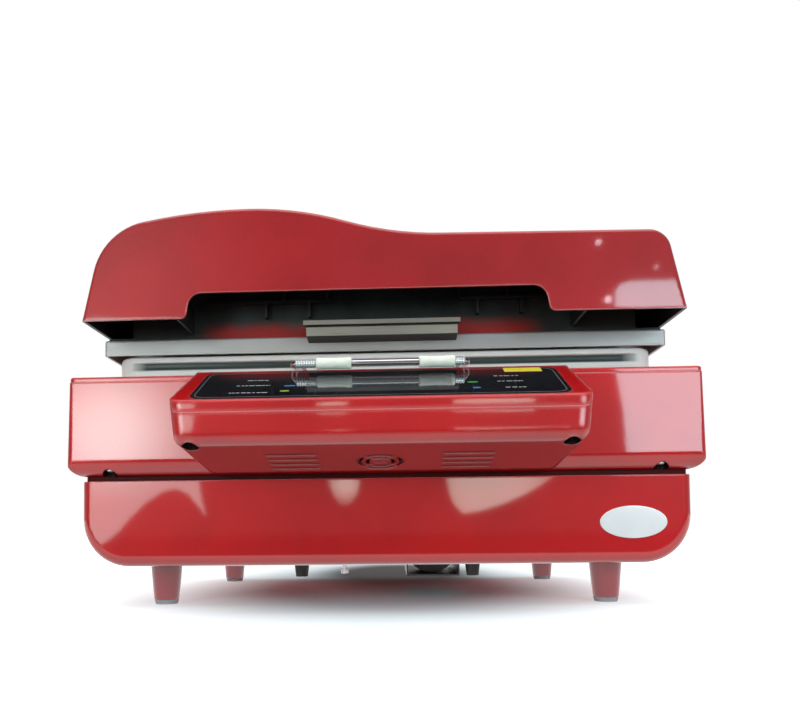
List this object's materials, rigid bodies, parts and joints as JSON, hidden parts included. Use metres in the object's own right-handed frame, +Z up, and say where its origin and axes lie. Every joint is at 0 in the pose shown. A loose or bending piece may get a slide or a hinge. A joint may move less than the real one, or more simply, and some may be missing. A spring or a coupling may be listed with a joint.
{
  "type": "vacuum sublimation press",
  "caption": "Tabletop vacuum sublimation press: footed base with sloping control box, silicone membrane frame and a tall heater lid on one rear hinge.",
  "frame": {"origin": "on the floor under the middle of the machine's overall box", "axes": "+X to the machine's right seen from its front, +Y from the control box to the hinge, +Z up"},
  "size_m": [0.5994, 0.56, 0.3815],
  "materials": {
    "red_paint": "pearl lacquer on moulded ABS, glossy",
    "red_foot": "glossy moulded plastic",
    "dark_red": "dark moulded plastic in the neck",
    "rubber_pad": "grey rubber",
    "black_rubber": "black rubber",
    "silicone": "translucent white silicone",
    "orange_silicone": "silicone gasket",
    "tray_steel": "drawn stainless steel",
    "zinc_steel": "zinc-plated sheet",
    "chrome_rod": "chrome plate",
    "grey_aluminium": "satin grey",
    "rail_aluminium": "dark anodised",
    "mirror_aluminium": "polished reflector",
    "black_steel": "satin black heat-proof paint",
    "panel_gloss": "printed gloss polycarbonate",
    "display_glass": "tinted clear lens",
    "circuit_green": "solder resist",
    "black_plastic": "moulded",
    "motor_paint": "satin",
    "cast_alloy": "die cast",
    "foam": "white foam tube",
    "ceramic": "ceramic",
    "quartz": "quartz tube",
    "fibre": "ceramic fibre mat",
    "screw_steel": "bright zinc",
    "hose_pvc": "clear hose"
  },
  "bodies": {
    "base": {"chassis_plate": "zinc_steel", "control_board": "circuit_green", "control_lower_case": "red_paint", "control_top_case": "red_paint", "deck_cover": "red_paint", "display_window": "display_glass", "drain_screw": "screw_steel", "foot_front_left": "red_foot", "foot_front_right": "red_foot", "foot_pads": "rubber_pad", "foot_rear_left": "red_foot", "foot_rear_right": "red_foot", "fuse_holder": "black_plastic", "heat_sink": "cast_alloy", "hinge_brackets": "zinc_steel", "hinge_rod": "chrome_rod", "housing_screws": "screw_steel", "lower_housing": "red_paint", "panel_fan_frame": "black_plastic", "panel_overlay": "panel_gloss", "power_board": "circuit_green", "power_inlet": "black_plastic", "power_switch_frame": "black_plastic", "pump_bars": "zinc_steel", "pump_cradle": "zinc_steel", "pump_heads": "cast_alloy", "pump_motor": "motor_paint", "pump_mounts": "black_rubber", "rear_fan_frame": "black_plastic", "release_valve": "motor_paint", "seam_frame": "dark_red", "solid_state_relay": "black_plastic", "support_grid": "tray_steel", "tray_gasket": "orange_silicone", "upper_housing": "red_paint", "vacuum_hose": "hose_pvc", "work_tray": "tray_steel"},
    "membrane_frame": {"membrane_seal": "silicone", "clamp_ring": "rail_aluminium", "silicone_membrane": "silicone", "membrane_rail": "rail_aluminium", "membrane_handle": "chrome_rod", "handle_sleeve_left": "foam", "handle_sleeve_right": "foam", "frame_ears": "zinc_steel"},
    "lid": {"lid_shell": "red_paint", "heater_tray": "grey_aluminium", "lid_inner_wall": "black_steel", "insulation_mat": "fibre", "reflector": "mirror_aluminium", "tube_holders": "ceramic", "heater_tubes": "quartz", "guard_grille": "zinc_steel", "thermostat": "zinc_steel", "lid_handle": "grey_aluminium", "lid_arms": "zinc_steel"},
    "panel_fan": {"panel_fan_rotor": "black_plastic"},
    "rear_fan": {"rear_fan_rotor": "black_plastic"},
    "power_switch": {"power_rocker": "black_plastic"}
  },
  "joints": [
    {"name": "membrane_frame_hinge", "type": "hinge", "parent": "base", "child": "membrane_frame", "pos_m": [0, 0.268, 0.24], "axis": [-1, 0, 0], "range_deg": [0, 35]},
    {"name": "lid_hinge", "type": "hinge", "parent": "membrane_frame", "child": "lid", "pos_m": [0, 0.268, 0.24], "axis": [-1, 0, 0], "range_deg": [0, 60]},
    {"name": "panel_fan_spin", "type": "hinge", "parent": "base", "child": "panel_fan", "pos_m": [0, -0.22245, 0.13655], "axis": [0, 0.2206, 0.9754], "continuous": true},
    {"name": "rear_fan_spin", "type": "hinge", "parent": "base", "child": "rear_fan", "pos_m": [-0.19, 0.256, 0.084], "axis": [0, -1, 0], "continuous": true},
    {"name": "power_rocker_tilt", "type": "hinge", "parent": "base", "child": "power_switch", "pos_m": [0.145, 0.259, 0.084], "axis": [1, 0, 0], "range_deg": [0, 16]}
  ]
}
